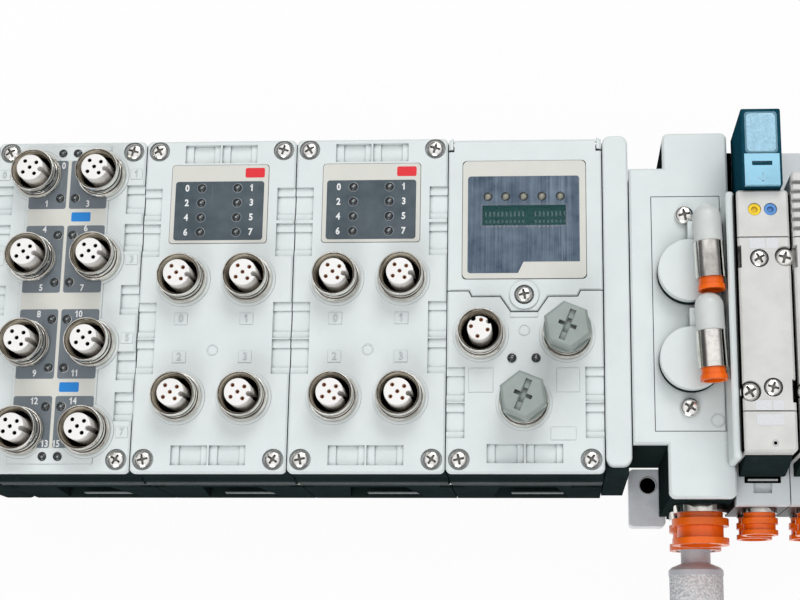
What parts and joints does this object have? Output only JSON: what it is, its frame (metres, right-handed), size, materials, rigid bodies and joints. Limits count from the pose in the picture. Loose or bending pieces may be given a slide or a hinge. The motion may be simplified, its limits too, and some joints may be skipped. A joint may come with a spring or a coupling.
{
  "type": "pneumatic valve island",
  "caption": "Row of pale grey input, output and bus units with round metal sockets, joined to a supply block with elbow fittings and solenoid valve stations.",
  "frame": {"origin": "middle of the footprint, on the mounting plane", "axes": "+X along the row from the input unit to the valves, +Y towards the back edge, +Z out of the connector faces"},
  "size_m": [0.2906, 0.1644, 0.0832],
  "materials": {
    "grey_housing": "fine matte pale grey resin",
    "black_base": "matte black resin",
    "nickel": "nickel plated brass",
    "white_insert": "white resin",
    "label_cream": "printed sheet",
    "lens_dark": "smoky lens",
    "board_green": "circuit board",
    "window_smoke": "printed smoky window",
    "cap_grey": "mid grey resin",
    "screw_steel": "zinc plated steel",
    "orange": "orange resin",
    "foot_aluminium": "cast aluminium",
    "silencer_grey": "grey resin",
    "porous": "sintered porous resin",
    "valve_grey": "warm pale grey resin",
    "teal": "tinted clear resin",
    "light_blue": "light blue resin",
    "yellow": "yellow resin",
    "blue": "blue resin",
    "black_rubber": "black rubber",
    "spool_aluminium": "turned aluminium",
    "switch_white": "switch body",
    "elbow_grey": "pale grey resin"
  },
  "bodies": {
    "island": {"adapter_base": "black_base", "adapter_plate": "grey_housing", "bus_base": "black_base", "bus_housing": "grey_housing", "circuit_boards": "board_green", "cover_hinge_pin": "screw_steel", "indicator_lenses": "lens_dark", "input_base": "black_base", "input_housing": "grey_housing", "input_label": "label_cream", "joint_brackets": "screw_steel", "joint_screws": "screw_steel", "lamp_cover": "teal", "lamp_diffuser": "light_blue", "lamp_lid": "light_blue", "large_screws": "screw_steel", "left_end_plate": "grey_housing", "manifold_1": "grey_housing", "manifold_2": "grey_housing", "mounting_foot": "foot_aluminium", "output_1_base": "black_base", "output_1_housing": "grey_housing", "output_2_base": "black_base", "output_2_housing": "grey_housing", "output_labels": "label_cream", "port_cover": "grey_housing", "port_sleeves": "nickel", "right_end_plate": "grey_housing", "silencer_element": "porous", "silencer_plug": "silencer_grey", "small_screws": "screw_steel", "socket_caps": "cap_grey", "socket_inserts": "white_insert", "socket_shells": "nickel", "supply_body": "black_base", "supply_cover": "grey_housing", "switch_bank_1": "switch_white", "switch_bank_2": "switch_white", "valve_1_body": "valve_grey", "valve_2_body": "valve_grey", "valve_end_caps": "black_base", "valve_gaskets": "black_rubber"},
    "display_cover": {"display_cover": "grey_housing", "display_window": "window_smoke", "cover_screw": "screw_steel"},
    "elbow_1": {"elbow_1": "elbow_grey", "elbow_1_sleeve": "nickel"},
    "elbow_2": {"elbow_2": "elbow_grey", "elbow_2_sleeve": "nickel"},
    "elbow_1_button": {"elbow_1_button": "orange"},
    "elbow_2_button": {"elbow_2_button": "orange"},
    "supply_button": {"supply_button": "orange"},
    "exhaust_button": {"exhaust_button": "orange"},
    "port_1a_button": {"port_1a_button": "orange"},
    "port_1b_button": {"port_1b_button": "orange"},
    "port_2a_button": {"port_2a_button": "orange"},
    "port_2b_button": {"port_2b_button": "orange"},
    "override_a": {"override_a": "yellow"},
    "override_b": {"override_b": "blue"},
    "valve_1_spool": {"valve_1_spool": "spool_aluminium"}
  },
  "joints": [
    {"name": "display_cover_hinge", "type": "hinge", "parent": "island", "child": "display_cover", "pos_m": [0.03165, 0.07945, 0.0604], "axis": [-1, 0, 0], "range_deg": [0, 100]},
    {"name": "elbow_1_swivel", "type": "hinge", "parent": "island", "child": "elbow_1", "pos_m": [0.08525, 0.05105, 0.075], "axis": [0, 0, 1], "range_deg": [-90, 0]},
    {"name": "elbow_2_swivel", "type": "hinge", "parent": "island", "child": "elbow_2", "pos_m": [0.08525, 0.02445, 0.075], "axis": [0, 0, 1], "range_deg": [-90, 0]},
    {"name": "elbow_1_release", "type": "slide", "parent": "elbow_1", "child": "elbow_1_button", "axis": [-0.0436, 0.999, 0], "range_m": [0, 0.0012], "stiffness_N_per_m": 400},
    {"name": "elbow_2_release", "type": "slide", "parent": "elbow_2", "child": "elbow_2_button", "axis": [-0.0436, 0.999, 0], "range_m": [0, 0.0012], "stiffness_N_per_m": 400},
    {"name": "supply_release", "type": "slide", "parent": "island", "child": "supply_button", "axis": [0, 1, 0], "range_m": [0, 0.0014], "stiffness_N_per_m": 400},
    {"name": "exhaust_release", "type": "slide", "parent": "island", "child": "exhaust_button", "axis": [0, 1, 0], "range_m": [0, 0.0014], "stiffness_N_per_m": 400},
    {"name": "port_1a_release", "type": "slide", "parent": "island", "child": "port_1a_button", "axis": [0, 1, 0], "range_m": [0, 0.0012], "stiffness_N_per_m": 400},
    {"name": "port_1b_release", "type": "slide", "parent": "island", "child": "port_1b_button", "axis": [0, 1, 0], "range_m": [0, 0.0012], "stiffness_N_per_m": 400},
    {"name": "port_2a_release", "type": "slide", "parent": "island", "child": "port_2a_button", "axis": [0, 1, 0], "range_m": [0, 0.0012], "stiffness_N_per_m": 400},
    {"name": "port_2b_release", "type": "slide", "parent": "island", "child": "port_2b_button", "axis": [0, 1, 0], "range_m": [0, 0.0012], "stiffness_N_per_m": 400},
    {"name": "override_a_push", "type": "slide", "parent": "island", "child": "override_a", "axis": [0, 0, -1], "range_m": [0, 0.0012], "stiffness_N_per_m": 400},
    {"name": "override_b_push", "type": "slide", "parent": "island", "child": "override_b", "axis": [0, 0, -1], "range_m": [0, 0.0012], "stiffness_N_per_m": 400},
    {"name": "valve_1_spool_shift", "type": "slide", "parent": "island", "child": "valve_1_spool", "axis": [0, 1, 0], "range_m": [-0.002, 0.002]}
  ]
}
